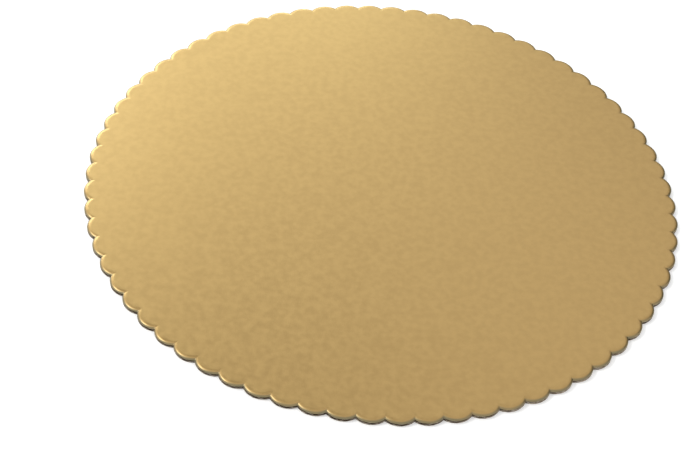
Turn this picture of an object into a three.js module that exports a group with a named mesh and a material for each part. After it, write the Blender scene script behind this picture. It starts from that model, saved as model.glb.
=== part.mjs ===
// Round cake board with a scalloped edge: one die-cut sheet of foil-faced board.
// Millimetres, +Z up. The origin is the centre of the underside.
import * as THREE from 'three';

// Driving dimensions
const tipDiameter = 254;
const boardThickness = 2.4;
const scallopCount = 70;
const scallopDepth = 2.1;
const rimWidth = 1.8;
const rimDrop = 0.9;
const footRadius = 0.3;

// Fineness of the facets
const stepsPerScallop = 6;
const rimSteps = 4;
const footSteps = 2;

// One scallop is a circular arc from notch to notch that bulges out to the tip circle
const tipRadius = tipDiameter / 2;
const notchRadius = tipRadius - scallopDepth;
const halfPitchAngle = Math.PI / scallopCount;
const halfChord = notchRadius * Math.sin(halfPitchAngle);
const bulge = tipRadius - notchRadius * Math.cos(halfPitchAngle);
const scallopRadius = (halfChord ** 2 + bulge ** 2) / (2 * bulge);
const arcCentreRadius = tipRadius - scallopRadius;

// The outline at one height, drawn in by the inset, with the notches kept on their bisectors
function scallopRing({ inset, height }) {
  const arcRadius = scallopRadius - inset;
  const notchTurn = Math.asin((arcCentreRadius * Math.sin(halfPitchAngle)) / arcRadius);
  const halfSweep = halfPitchAngle + notchTurn;
  const ring = [];
  for (let scallop = 0; scallop < scallopCount; scallop += 1) {
    const direction = (2 * scallop + 1) * halfPitchAngle;
    const arc = new THREE.EllipseCurve(
      arcCentreRadius * Math.cos(direction),
      arcCentreRadius * Math.sin(direction),
      arcRadius,
      arcRadius,
      direction - halfSweep,
      direction + halfSweep,
    );
    // The last point of each arc is the first point of the next
    const arcPoints = arc.getPoints(stepsPerScallop).slice(0, -1);
    for (const point of arcPoints) ring.push(new THREE.Vector3(point.x, point.y, height));
  }
  return ring;
}

// Section of the edge from the underside to the face: each step has an inset and a height.
// The foot is a quarter circle. The rim is a quarter ellipse, where the die pressed the face down.
function edgeSection() {
  const section = [];
  for (let step = 0; step <= footSteps; step += 1) {
    const turn = (Math.PI / 2) * (step / footSteps);
    section.push({
      inset: footRadius * (1 - Math.sin(turn)),
      height: footRadius * (1 - Math.cos(turn)),
    });
  }
  for (let step = 0; step <= rimSteps; step += 1) {
    const turn = (Math.PI / 2) * (step / rimSteps);
    section.push({
      inset: rimWidth * (1 - Math.cos(turn)),
      height: boardThickness - rimDrop * (1 - Math.sin(turn)),
    });
  }
  return section;
}

// Closed skin over a stack of rings with equal point counts, lowest ring first
function loftGeometry(rings) {
  const ringSize = rings[0].length;
  const vertices = rings.flat();
  const index = [];
  for (let row = 0; row < rings.length - 1; row += 1) {
    for (let i = 0; i < ringSize; i += 1) {
      const next = (i + 1) % ringSize;
      const lowHere = row * ringSize + i;
      const lowNext = row * ringSize + next;
      const highHere = lowHere + ringSize;
      const highNext = lowNext + ringSize;
      index.push(lowHere, lowNext, highNext);
      index.push(lowHere, highNext, highHere);
    }
  }
  const topStart = (rings.length - 1) * ringSize;
  for (const [a, b, c] of THREE.ShapeUtils.triangulateShape(rings[0], [])) index.push(a, c, b);
  for (const [a, b, c] of THREE.ShapeUtils.triangulateShape(rings.at(-1), [])) {
    index.push(topStart + a, topStart + b, topStart + c);
  }
  const geometry = new THREE.BufferGeometry();
  geometry.setFromPoints(vertices);
  geometry.setIndex(index);
  geometry.computeVertexNormals();
  return geometry;
}

const goldFoil = new THREE.MeshStandardMaterial({ color: 0xc5a66b, roughness: 0.42, metalness: 0.9 });

const cakeBoard = new THREE.Mesh(loftGeometry(edgeSection().map(scallopRing)), goldFoil);
cakeBoard.name = 'cake_board';

const board = new THREE.Group();
board.add(cakeBoard);

export default board;
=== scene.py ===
import math

import bpy
import numpy as np
from mathutils import Matrix, Vector


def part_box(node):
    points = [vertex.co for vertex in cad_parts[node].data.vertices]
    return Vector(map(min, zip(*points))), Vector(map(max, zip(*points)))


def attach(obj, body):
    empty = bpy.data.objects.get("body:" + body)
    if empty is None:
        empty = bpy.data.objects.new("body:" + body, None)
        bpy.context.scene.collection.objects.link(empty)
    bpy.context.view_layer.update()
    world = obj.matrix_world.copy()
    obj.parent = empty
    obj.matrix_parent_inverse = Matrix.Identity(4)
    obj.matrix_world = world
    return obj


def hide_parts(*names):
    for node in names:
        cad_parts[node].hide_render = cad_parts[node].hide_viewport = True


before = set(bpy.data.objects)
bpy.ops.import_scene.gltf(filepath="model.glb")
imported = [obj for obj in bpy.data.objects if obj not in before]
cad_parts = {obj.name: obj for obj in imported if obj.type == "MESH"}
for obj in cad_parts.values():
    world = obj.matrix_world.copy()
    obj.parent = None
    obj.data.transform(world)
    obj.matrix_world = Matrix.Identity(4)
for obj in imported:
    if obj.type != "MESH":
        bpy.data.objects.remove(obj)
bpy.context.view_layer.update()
boardLow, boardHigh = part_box("cake_board")
mm = 0.001

# outline of the board, the same form as the solid it stands for
outline = {
    "scallops": 70,
    "scallopDepth": 2.1 * mm,
    "rimWidth": 1.8 * mm,              # how far in from the edge the face starts to fall
    "rimDrop": 0.9 * mm,               # how far the die pressed it down at the edge
    "footRadius": 0.3 * mm,
    "lipShadeFrom": math.radians(28),      # how far round the roll the painted shade on the lip begins
    "lipShadeTo": math.radians(56),
    "lipShadeShare": 0.9,                  # how dark the painted shade on the lip gets, and how much that varies along the rim
    "lipShadeSwing": 0.25,
    "lipShadeLength": 3.5 * mm,
    "lipShadeSeed": 23,
}

# how finely the skin is cut up
meshing = {
    "stepsPerScallop": 40,
    "footSteps": 2,
    "wallSteps": 14,
    "rimSteps": 7,
    "underRings": [0.02, 0.6, 0.985],  # shares of the way out to the foot
    "faceRings": [0.5, 1.5, 4.0, 10.0, 24.0, 48.0, 80.0],  # mm in from the rim's roll
    "roundBy": 9.0,                    # mm in from the rim's roll, where the rings have become circles
}

# the cut edge of the corrugated middle, between the two liners
flutes = {
    "pitch": 3.4 * mm,
    "heading": math.radians(40),       # which way the flutes run, turned from +X
    "paper": 0.20 * mm,                # thickness of the wavy sheet
    "hollowFrom": 0.35,                # thicknesses off its middle between which the hollow begins
    "hollowTo": 0.95,
    "low": 0.32 * mm,                  # top of the lower liner
    "high": 1.54 * mm,                 # underside of the foil liner, where the die pressed it down
    "softInLiner": 0.06 * mm,          # the hollow starts to open this far inside the liners
    "softInHollow": 0.08 * mm,         # and is fully open this far away from them
    "deep": 2.0 * mm,                  # how far the tunnels are followed in, where the cut crosses them
    "shallow": 0.4 * mm,               # the same where the cut runs along them
    "dimmest": 0.12,                   # how strong the painted shade in them is where it runs along them, as a share
    # cosine of the angle between the wall's outward direction and the flutes
    "alongBelow": 0.1,                 # below this the cut runs along them
    "crossedAbove": 0.8,               # above this it crosses them
    "depthSwing": 0.25,                # how much the depth varies, as a share
    "depthLength": 2.5 * mm,
    "depthSeed": 13,
    "crush": 0.3,                      # share of each wave the die flattened, at most
    "crushLength": 5 * mm,
    "crushSeed": 3,
    "drift": 0.22,                     # how far the waves wander sideways, in pitches
    "driftLength": 9 * mm,
    "driftSeed": 5,
    "sway": 0.07 * mm,                 # how far they wander up and down
    "swayLength": 6 * mm,
    "swaySeed": 7,
    "frayed": 0.05 * mm,               # roughness of the cut paper
    "frayLength": 0.9 * mm,
    "fraySeed": 17,
    "frayFrom": 0.25 * mm,             # height from which the paper is fully frayed
    "foilLip": math.radians(90),       # how far round the rim the foil reaches
}

# slow unevenness of the sheet, far too small to move its box
sheetWave = {
    "height": 0.012 * mm,
    "length": 46 * mm,
    "seed": 11,
    "flatEdge": 12.0,                  # mm in from the rim's roll, over which it grows to its full height
}


def tipRadius():
    return (boardHigh.y - boardLow.y) / 2


def arcNumbers():
    # arc radius of one scallop and the circle that the arcs' centres lie on
    tip = tipRadius()
    half = math.pi / outline["scallops"]
    notch = tip - outline["scallopDepth"]
    chord = notch * math.sin(half)
    bulge = tip - notch * math.cos(half)
    arc = (chord ** 2 + bulge ** 2) / (2 * bulge)
    return arc, tip - arc, half


def outlineRing(inset):
    # points of the outline drawn in by inset, one number or one for each point
    arc, centre, half = arcNumbers()
    steps = meshing["stepsPerScallop"]
    count = outline["scallops"] * steps
    place = np.arange(count)
    scallop = place // steps
    share = (place % steps) / steps * 2 - 1
    radius = arc - np.broadcast_to(inset, count)
    sweep = half + np.arcsin(centre * math.sin(half) / radius)
    direction = (2 * scallop + 1) * half
    turn = direction + share * sweep
    x = centre * np.cos(direction) + radius * np.cos(turn)
    y = centre * np.sin(direction) + radius * np.sin(turn)
    return np.stack([x, y], axis=1)


def softNoise(points, length, seed):
    # smooth value noise between -1 and 1 over points in any number of dimensions
    # the large numbers only scatter the bits of each cell, the same in every run
    cells = points / length
    base = np.floor(cells).astype(np.int64)
    part = cells - base
    part = part * part * (3 - 2 * part)
    total = np.zeros(len(points))
    dims = points.shape[1]
    for corner in range(2 ** dims):
        weight = np.ones(len(points))
        key = np.full(len(points), seed * 7919, dtype=np.int64)
        for axis in range(dims):
            bit = (corner >> axis) & 1
            weight *= part[:, axis] if bit else 1 - part[:, axis]
            key = key * 73856093 + (base[:, axis] + bit) * (19349663 + 83492791 * axis)
            key ^= key >> 13
        key = (key * 2654435761) & 0xFFFFFFFF
        key ^= key >> 15
        key = (key * 2246822519) & 0xFFFFFFFF
        total += weight * ((key & 0xFFFF) / 32767.5 - 1)
    return total


def shareNoise(points, length, seed):
    # the same noise, between 0 and 1
    return 0.5 + 0.5 * softNoise(points, length, seed)


def smooth(low, high, value):
    share = np.clip((value - low) / (high - low), 0, 1)
    return share * share * (3 - 2 * share)


def fluteCut(ring, height):
    # how far the waves of the middle sheet draw the cut edge in at this height, and how much painted shade
    # lies there
    heading = flutes["heading"]
    across = ring[:, 1] * math.cos(heading) - ring[:, 0] * math.sin(heading)
    crushed = 1 - flutes["crush"] * shareNoise(ring, flutes["crushLength"], flutes["crushSeed"])
    drift = flutes["drift"] * softNoise(ring, flutes["driftLength"], flutes["driftSeed"])
    sway = flutes["sway"] * softNoise(ring, flutes["swayLength"], flutes["swaySeed"])
    middle = (flutes["low"] + flutes["high"]) / 2 + sway
    swing = (flutes["high"] - flutes["low"] - flutes["paper"]) / 2 * crushed
    phase = 2 * math.pi * (across / flutes["pitch"] + drift)
    wave = middle + swing * np.sin(phase)
    slope = swing * np.cos(phase) * 2 * math.pi / flutes["pitch"]
    off = np.abs(height - wave) / np.sqrt(1 + slope ** 2)
    hollow = smooth(flutes["paper"] * flutes["hollowFrom"], flutes["paper"] * flutes["hollowTo"], off)
    hollow *= smooth(flutes["low"] - flutes["softInLiner"], flutes["low"] + flutes["softInHollow"], height)
    openBelow = flutes["high"] - flutes["softInHollow"]
    hollow *= 1 - smooth(openBelow, flutes["high"] + flutes["softInLiner"], height)
    outward = ring[:, 0] * math.cos(heading) + ring[:, 1] * math.sin(heading)
    facing = outward / np.hypot(ring[:, 0], ring[:, 1])
    # 1 where the cut crosses the flutes, 0 where it runs along them
    crossed = smooth(flutes["alongBelow"], flutes["crossedAbove"], np.abs(facing))
    depth = flutes["shallow"] + (flutes["deep"] - flutes["shallow"]) * crossed
    uneven = flutes["depthSwing"] * softNoise(ring, flutes["depthLength"], flutes["depthSeed"])
    depth = depth * (1 - flutes["depthSwing"] + uneven)
    # painted shade in the tunnels, strongest where the cut crosses them
    dark = flutes["dimmest"] + (1 - flutes["dimmest"]) * crossed
    return hollow * depth, hollow * dark


def edgeRows():
    # rings of the skin from the underside to the rolled rim: inset, height, is it foil, how much painted
    # shade lies on it
    rows = []
    thickness = boardHigh.z - boardLow.z
    foot = outline["footRadius"]
    for step in range(meshing["footSteps"] + 1):
        turn = math.pi / 2 * step / meshing["footSteps"]
        rows.append((foot * (1 - math.sin(turn)), foot * (1 - math.cos(turn)), False, 1.0))
    width = outline["rimWidth"]
    drop = outline["rimDrop"]
    wallTop = thickness - drop
    for step in range(1, meshing["wallSteps"]):
        rows.append((0.0, foot + (wallTop - foot) * step / meshing["wallSteps"], False, 1.0))
    for step in range(meshing["rimSteps"] + 1):
        turn = math.pi / 2 * step / meshing["rimSteps"]
        rolled = math.pi / 2 - turn  # how far round the roll, 0 on the face
        foil = rolled <= flutes["foilLip"]
        # painted shade grows over the lower part of the roll
        rollShading = smooth(outline["lipShadeFrom"], outline["lipShadeTo"], rolled)
        rows.append((width * (1 - math.cos(turn)), thickness - drop * (1 - math.sin(turn)), foil, rollShading))
    return rows


def level(ring, height):
    return np.column_stack([ring, np.full(len(ring), height)])


def boardSkin():
    # one entry for each ring, from the middle of the underside round the edge to the face:
    # its points, is it foil, how much painted shade lies on the foil's lip and how much painted shade lies
    # in the tunnels
    skin = []
    plain = outlineRing(0.0)
    none = np.zeros(len(plain))
    footEdge = outlineRing(outline["footRadius"])
    for share in meshing["underRings"]:
        skin.append((level(footEdge * share, 0.0), False, np.ones(len(plain)), none))
    for inset, height, foil, rollShading in edgeRows():
        drawnIn = np.full(len(plain), inset)
        hollow = none
        if not foil:
            onWall = smooth(0.0, flutes["frayFrom"], height)
            # the second value is the painted shade in the tunnels
            depth, hollow = fluteCut(plain, height)
            drawnIn = drawnIn + depth
            fray = shareNoise(level(plain, height), flutes["frayLength"], flutes["fraySeed"])
            drawnIn = drawnIn + onWall * flutes["frayed"] * fray
        # painted shade on the lip's lower roll, its strength varying slowly along the rim
        uneven = outline["lipShadeSwing"] * softNoise(plain, outline["lipShadeLength"], outline["lipShadeSeed"])
        lipShading = np.clip(rollShading * (outline["lipShadeShare"] + uneven), 0, 1)
        skin.append((level(outlineRing(drawnIn), height), foil, lipShading, hollow))
    rimEdge = outlineRing(outline["rimWidth"])
    rimReach = np.hypot(rimEdge[:, 0], rimEdge[:, 1])
    top = boardHigh.z - boardLow.z
    for inward in meshing["faceRings"]:
        reach = tipRadius() - outline["rimWidth"] - inward * mm
        calm = smooth(0.0, meshing["roundBy"], inward)
        flat = rimEdge * ((1 - calm) * (rimReach - inward * mm) + calm * reach)[:, None] / rimReach[:, None]
        sink = sheetWave["height"] * shareNoise(flat, sheetWave["length"], sheetWave["seed"])
        sink = sink * smooth(0.0, sheetWave["flatEdge"], inward)
        skin.append((np.column_stack([flat, top - sink]), True, none, none))
    return skin


# the board's materials, in the order of its material slots
onFoil, onCutEdge, onLiner = 0, 1, 2


def buildBoard():
    rings, isFoil, lipShading, shaded = zip(*boardSkin())
    size = len(rings[0])
    verts = np.concatenate(rings)
    verts = np.vstack([verts, [0, 0, 0], [0, 0, rings[-1][:, 2].mean()]])
    verts[:, 2] += boardLow.z
    underMiddle = len(verts) - 2
    faceMiddle = len(verts) - 1
    here = np.arange(size)
    after = np.roll(here, -1)
    faces = [(underMiddle, int(b), int(a)) for a, b in zip(here, after)]
    kinds = [onLiner] * size
    wallRow = len(meshing["underRings"])  # the rings before this one belong to the underside
    for row in range(len(rings) - 1):
        low = row * size
        high = low + size
        for a, b in zip(here.tolist(), after.tolist()):
            faces.append((low + a, low + b, high + b, high + a))
        kind = onFoil if isFoil[row] else (onCutEdge if row >= wallRow else onLiner)
        kinds += [kind] * size
    last = (len(rings) - 1) * size
    faces += [(faceMiddle, last + int(a), last + int(b)) for a, b in zip(here, after)]
    kinds += [onFoil] * size
    mesh = bpy.data.meshes.new("scallopedBoard")
    mesh.from_pydata(verts.tolist(), [], faces)
    mesh.polygons.foreach_set("material_index", kinds)
    mesh.polygons.foreach_set("use_smooth", [True] * len(faces))
    lip = mesh.attributes.new("paintedLipShade", "FLOAT", "POINT")
    lip.data.foreach_set("value", np.concatenate([*lipShading, [1.0, 0.0]]))
    # painted shade for the tunnels of the cut edge
    tunnel = mesh.attributes.new("tunnelShade", "FLOAT", "POINT")
    tunnel.data.foreach_set("value", np.concatenate([*shaded, [0.0, 0.0]]))
    mesh.update()
    board = bpy.data.objects.new("scalloped_board", mesh)
    bpy.context.scene.collection.objects.link(board)
    for paint in (goldFoil(), cutEdge(), liner()):
        mesh.materials.append(paint)
    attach(board, "root")
    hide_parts("cake_board")
    return board


def newMaterial(name):
    paint = bpy.data.materials.new(name)
    paint.use_nodes = True
    nodes = paint.node_tree.nodes
    return paint, nodes, paint.node_tree.links, nodes["Principled BSDF"]


def addNoise(nodes, links, scale, detail=3.0, rough=0.5):
    # noise over the object's own metres; the scale is in cells for each metre
    place = nodes.new("ShaderNodeTexCoord")
    noise = nodes.new("ShaderNodeTexNoise")
    noise.inputs["Scale"].default_value = scale
    noise.inputs["Detail"].default_value = detail
    noise.inputs["Roughness"].default_value = rough
    links.new(place.outputs["Object"], noise.inputs["Vector"])
    return noise.outputs["Fac"]


def addRamp(nodes, links, source, stops):
    ramp = nodes.new("ShaderNodeValToRGB")
    while len(ramp.color_ramp.elements) < len(stops):
        ramp.color_ramp.elements.new(0.5)
    for element, (place, colour) in zip(ramp.color_ramp.elements, stops):
        element.position = place
        element.color = (*colour, 1.0)
    links.new(source, ramp.inputs["Fac"])
    return ramp.outputs["Color"]


def addRange(nodes, links, source, low, high, fromLow=0.3, fromHigh=0.7):
    spread = nodes.new("ShaderNodeMapRange")
    spread.inputs["From Min"].default_value = fromLow
    spread.inputs["From Max"].default_value = fromHigh
    spread.inputs["To Min"].default_value = low
    spread.inputs["To Max"].default_value = high
    links.new(source, spread.inputs["Value"])
    return spread.outputs["Result"]


def addBump(nodes, links, source, depth, under=None):
    bump = nodes.new("ShaderNodeBump")
    bump.inputs["Strength"].default_value = 1.0
    bump.inputs["Distance"].default_value = depth
    links.new(source, bump.inputs["Height"])
    if under is not None:
        links.new(under, bump.inputs["Normal"])
    return bump.outputs["Normal"]


foilLook = {
    "pale": (0.458, 0.298, 0.111),
    "deep": (0.417, 0.268, 0.097),
    # dark olive painted shade on the lower roll of the rim
    "lip": (0.215, 0.178, 0.095),
    "metal": 0.92,
    "roughLow": 0.35,
    "roughHigh": 0.41,
    "coat": 0.25,
    "coatRough": 0.3,
    "mottle": 330.0,                   # patches about 3 mm across
    "deepAt": 0.35,
    "paleAt": 0.65,
    "grain": 1500.0,                   # the liner's fibres showing through the foil
    "grainDepth": 0.0016 * mm,
    "dimple": 480.0,                   # slight orange peel of the glued foil
    "dimpleDepth": 0.0016 * mm,
}


def goldFoil():
    paint, nodes, links, shader = newMaterial("goldFoil")
    mottle = addNoise(nodes, links, foilLook["mottle"], detail=4.0, rough=0.55)
    stops = [(foilLook["deepAt"], foilLook["deep"]), (foilLook["paleAt"], foilLook["pale"])]
    colour = addRamp(nodes, links, mottle, stops)
    # the rim's lower roll is mixed toward the lip colour: painted shade
    lip = nodes.new("ShaderNodeAttribute")
    lip.attribute_name = "paintedLipShade"
    tint = nodes.new("ShaderNodeMix")
    tint.data_type = "RGBA"
    links.new(lip.outputs["Fac"], tint.inputs["Factor"])
    links.new(colour, tint.inputs["A"])
    tint.inputs["B"].default_value = (*foilLook["lip"], 1)
    links.new(tint.outputs["Result"], shader.inputs["Base Color"])
    shader.inputs["Metallic"].default_value = foilLook["metal"]
    rough = addRange(nodes, links, mottle, foilLook["roughLow"], foilLook["roughHigh"])
    links.new(rough, shader.inputs["Roughness"])
    shader.inputs["Coat Weight"].default_value = foilLook["coat"]
    shader.inputs["Coat Roughness"].default_value = foilLook["coatRough"]
    dimple = addNoise(nodes, links, foilLook["dimple"], detail=2.0)
    grain = addNoise(nodes, links, foilLook["grain"], rough=0.6)
    soft = addBump(nodes, links, dimple, foilLook["dimpleDepth"])
    fine = addBump(nodes, links, grain, foilLook["grainDepth"], soft)
    links.new(fine, shader.inputs["Normal"])
    return paint


cutLook = {
    # tones of the cut paper: its own brown-grey, darkened further by painted shade, as for a wall standing
    # in shade
    "dark": (0.180, 0.130, 0.085),
    "mid": (0.350, 0.285, 0.215),
    "pale": (0.600, 0.530, 0.445),
    "tunnel": (0.030, 0.016, 0.006),   # painted shade in the tunnels of the waves, where no light reaches
    "gloomFrom": 0.03,                 # shares of the way in between which the painted shade in the tunnels sets in
    "gloomTo": 0.22,
    "darkAt": 0.34,
    "midAt": 0.46,
    "paleAt": 0.62,
    "rough": 0.92,
    "gloss": 0.25,
    "speck": 620.0,
    "fibre": 3800.0,
    "fibreDepth": 0.03 * mm,
}


def cutEdge():
    paint, nodes, links, shader = newMaterial("cutPaperEdge")
    speck = addNoise(nodes, links, cutLook["speck"], detail=5.0, rough=0.7)
    stops = [(cutLook[shade + "At"], cutLook[shade]) for shade in ("dark", "mid", "pale")]
    # the tunnels are mixed toward near black: painted shade
    tunnel = nodes.new("ShaderNodeAttribute")
    tunnel.attribute_name = "tunnelShade"
    darken = nodes.new("ShaderNodeMix")
    darken.data_type = "RGBA"
    gloomBand = (cutLook["gloomFrom"], cutLook["gloomTo"])
    gloom = addRange(nodes, links, tunnel.outputs["Fac"], 0.0, 1.0, *gloomBand)
    links.new(gloom, darken.inputs["Factor"])
    links.new(addRamp(nodes, links, speck, stops), darken.inputs["A"])
    darken.inputs["B"].default_value = (*cutLook["tunnel"], 1)
    links.new(darken.outputs["Result"], shader.inputs["Base Color"])
    shader.inputs["Roughness"].default_value = cutLook["rough"]
    shader.inputs["Specular IOR Level"].default_value = cutLook["gloss"]
    fibre = addNoise(nodes, links, cutLook["fibre"], detail=4.0, rough=0.65)
    links.new(addBump(nodes, links, fibre, cutLook["fibreDepth"]), shader.inputs["Normal"])
    return paint


linerLook = {
    "pale": (0.600, 0.560, 0.500),
    "deep": (0.500, 0.455, 0.395),
    "deepAt": 0.3,
    "paleAt": 0.7,
    "rough": 0.85,
    "gloss": 0.3,
    "cloud": 70.0,
    "fleck": 1400.0,
    "fleckDepth": 0.012 * mm,
    "ripple": 0.03 * mm,               # the waves of the middle sheet, showing through
    "waver": 0.4,                      # how far they stray from straight
}


def liner():
    paint, nodes, links, shader = newMaterial("paperLiner")
    cloud = addNoise(nodes, links, linerLook["cloud"], detail=8.0, rough=0.7)
    stops = [(linerLook["deepAt"], linerLook["deep"]), (linerLook["paleAt"], linerLook["pale"])]
    links.new(addRamp(nodes, links, cloud, stops), shader.inputs["Base Color"])
    shader.inputs["Roughness"].default_value = linerLook["rough"]
    shader.inputs["Specular IOR Level"].default_value = linerLook["gloss"]
    place = nodes.new("ShaderNodeTexCoord")
    turned = nodes.new("ShaderNodeMapping")
    turned.inputs["Rotation"].default_value[2] = -flutes["heading"]
    wave = nodes.new("ShaderNodeTexWave")
    wave.bands_direction = "Y"
    wave.inputs["Scale"].default_value = math.pi / 10 / flutes["pitch"]  # one wave for each pitch
    wave.inputs["Distortion"].default_value = linerLook["waver"]
    links.new(place.outputs["Object"], turned.inputs["Vector"])
    links.new(turned.outputs["Vector"], wave.inputs["Vector"])
    ripple = addBump(nodes, links, wave.outputs["Fac"], linerLook["ripple"])
    fleck = addNoise(nodes, links, linerLook["fleck"], detail=4.0, rough=0.6)
    links.new(addBump(nodes, links, fleck, linerLook["fleckDepth"], ripple), shader.inputs["Normal"])
    return paint


studio = {
    "floorColour": (0.86, 0.86, 0.86),
    "floorRough": 0.9,
    "floorSize": 6.0,
    "floorGap": 0.05 * mm,             # keeps the floor clear of the underside
    "floorGlow": 0.28,                 # lifts the floor to white where the eye sees it
    "world": 0.80,                     # light on the board from all sides
    "shown": 1.0,                      # the background as the eye and reflections see it, white
}

# soft lamps, in degrees, metres and watts; azimuth 0 is in front of the board and 90 to its right
lamps = {
    "backSoftbox": {"azimuth": 182, "elevation": 20, "distance": 1.4, "wide": 0.4, "high": 0.35,
                    "watts": 2.6, "colour": (0.88, 1.0, 0.84)},
    "cornerSoftbox": {"azimuth": 206, "elevation": 29, "distance": 1.4, "wide": 0.5, "high": 0.4,
                      "watts": 3.6, "colour": (0.88, 1.0, 0.96)},
    "rimSoftbox": {"azimuth": 220, "elevation": 17, "distance": 1.4, "wide": 0.5, "high": 0.36,
                   "watts": 2.6, "colour": (1.0, 1.0, 0.95)},
    "rightSoftbox": {"azimuth": 160, "elevation": 46, "distance": 1.4, "wide": 0.6, "high": 0.3,
                     "watts": 0.2, "colour": (0.94, 0.98, 1.0)},
    "leftSoftbox": {"azimuth": 276, "elevation": 47, "distance": 1.2, "wide": 0.5, "high": 0.36,
                    "watts": 5.5, "colour": (1.0, 0.99, 0.95)},
}


def lightBackground(nodes, links, shown, lit, out):
    # the eye and reflections see the shown shader, and the other one lights everything else
    path = nodes.new("ShaderNodeLightPath")
    eyeOrGloss = nodes.new("ShaderNodeMath")
    eyeOrGloss.operation = "MAXIMUM"
    links.new(path.outputs["Is Camera Ray"], eyeOrGloss.inputs[0])
    links.new(path.outputs["Is Glossy Ray"], eyeOrGloss.inputs[1])
    showing = nodes.new("ShaderNodeMath")
    showing.operation = "MAXIMUM"
    links.new(eyeOrGloss.outputs[0], showing.inputs[0])
    links.new(path.outputs["Is Transmission Ray"], showing.inputs[1])
    mix = nodes.new("ShaderNodeMixShader")
    links.new(showing.outputs[0], mix.inputs["Fac"])
    links.new(lit, mix.inputs[1])
    links.new(shown, mix.inputs[2])
    links.new(mix.outputs["Shader"], out)


def buildWorld():
    world = bpy.data.worlds.new("studioWorld")
    bpy.context.scene.world = world
    world.use_nodes = True
    nodes = world.node_tree.nodes
    links = world.node_tree.links
    lit = nodes["Background"]
    lit.inputs["Color"].default_value = (1, 1, 1, 1)
    lit.inputs["Strength"].default_value = studio["world"]
    shown = nodes.new("ShaderNodeBackground")
    shown.inputs["Color"].default_value = (1, 1, 1, 1)
    shown.inputs["Strength"].default_value = studio["shown"]
    out = nodes["World Output"].inputs["Surface"]
    lightBackground(nodes, links, shown.outputs[0], lit.outputs[0], out)


def buildFloor():
    half = studio["floorSize"] / 2
    mesh = bpy.data.meshes.new("studioFloor")
    low = boardLow.z - studio["floorGap"]
    corners = [(-half, -half, low), (half, -half, low), (half, half, low), (-half, half, low)]
    mesh.from_pydata(corners, [], [(0, 1, 2, 3)])
    floor = bpy.data.objects.new("studio_floor", mesh)
    bpy.context.scene.collection.objects.link(floor)
    paint, nodes, links, shader = newMaterial("paleFloor")
    shader.inputs["Base Color"].default_value = (*studio["floorColour"], 1)
    shader.inputs["Roughness"].default_value = studio["floorRough"]
    glow = nodes.new("ShaderNodeEmission")
    glow.inputs["Strength"].default_value = studio["floorGlow"]
    both = nodes.new("ShaderNodeAddShader")
    links.new(shader.outputs[0], both.inputs[0])
    links.new(glow.outputs[0], both.inputs[1])
    out = nodes["Material Output"].inputs["Surface"]
    lightBackground(nodes, links, both.outputs[0], shader.outputs[0], out)
    mesh.materials.append(paint)


# dark cards that stand upright around the board, in degrees and metres, for the foil's reflections only
darkCards = {
    # from the right to behind, for the dark line on the rim's right side
    "rim_card": {"from": 93, "to": 182, "low": 0.01, "highFrom": 0.86, "highTo": 0.34, "distance": 0.95},
    # high up, from behind to the left, for the darker near half of the face
    "top_card": {"from": 176, "to": 245, "low": 1.30, "highFrom": 2.60, "highTo": 2.60, "distance": 0.95},
}
cardLook = {"colour": (0.12, 0.11, 0.08), "rough": 0.9, "pieces": 24}


def buildDarkCard(name, card, paint):
    verts = []
    pieces = cardLook["pieces"]
    for step in range(pieces + 1):
        share = step / pieces
        turn = math.radians(card["from"] + (card["to"] - card["from"]) * share)
        high = card["highFrom"] + (card["highTo"] - card["highFrom"]) * share
        x = math.sin(turn) * card["distance"]
        y = -math.cos(turn) * card["distance"]
        verts += [(x, y, card["low"]), (x, y, high)]
    faces = [(2 * i, 2 * i + 2, 2 * i + 3, 2 * i + 1) for i in range(pieces)]
    mesh = bpy.data.meshes.new(name)
    mesh.from_pydata(verts, [], faces)
    mesh.materials.append(paint)
    sheet = bpy.data.objects.new(name, mesh)
    bpy.context.scene.collection.objects.link(sheet)
    sheet.visible_camera = False
    sheet.visible_shadow = False
    sheet.visible_diffuse = False


def buildDarkCards():
    paint, nodes, links, shader = newMaterial("darkCard")
    shader.inputs["Base Color"].default_value = (*cardLook["colour"], 1)
    shader.inputs["Roughness"].default_value = cardLook["rough"]
    for name, card in darkCards.items():
        buildDarkCard(name, card, paint)


def lookFrom(place, target, roll=0.0):
    turn = (target - place).to_track_quat("-Z", "Y").to_matrix().to_4x4()
    return Matrix.Translation(place) @ turn @ Matrix.Rotation(roll, 4, "Z")


def around(azimuth, elevation, distance):
    # a point around the board; azimuth 0 lies in front of it, towards -Y
    side = math.radians(azimuth)
    lift = math.radians(elevation)
    flat = math.cos(lift) * distance
    return Vector((math.sin(side) * flat, -math.cos(side) * flat, math.sin(lift) * distance))


def buildLights():
    for name, box in lamps.items():
        lamp = bpy.data.lights.new(name, "AREA")
        lamp.shape = "ELLIPSE"
        lamp.size = box["wide"]
        lamp.size_y = box["high"]
        lamp.energy = box["watts"]
        lamp.color = box["colour"]
        light = bpy.data.objects.new(name, lamp)
        bpy.context.scene.collection.objects.link(light)
        place = around(box["azimuth"], box["elevation"], box["distance"])
        light.matrix_world = lookFrom(place, Vector((0, 0, 0)))


# the photo's camera, found from the notches, with its aim then set against the board's edge
photoCamera = {
    "lens": 86.7,
    "sensor": 36.0,
    "place": Vector((-23.6, -517.6, 496.6)) * mm,
    "aim": Vector((-14.40, -25.95, 2.4)) * mm,
    "roll": math.radians(5.81),
}


def buildCamera():
    lens = bpy.data.cameras.new("photoCamera")
    lens.lens = photoCamera["lens"]
    lens.sensor_width = photoCamera["sensor"]
    camera = bpy.data.objects.new("photoCamera", lens)
    bpy.context.scene.collection.objects.link(camera)
    camera.matrix_world = lookFrom(photoCamera["place"], photoCamera["aim"], photoCamera["roll"])
    bpy.context.scene.camera = camera


print("board")
board = buildBoard()
print("board has", len(board.data.polygons), "faces")
print("floor, dark cards, world and lamps")
buildFloor()
buildDarkCards()
buildWorld()
buildLights()
print("camera")
buildCamera()
bpy.context.scene.view_settings.view_transform = "Standard"
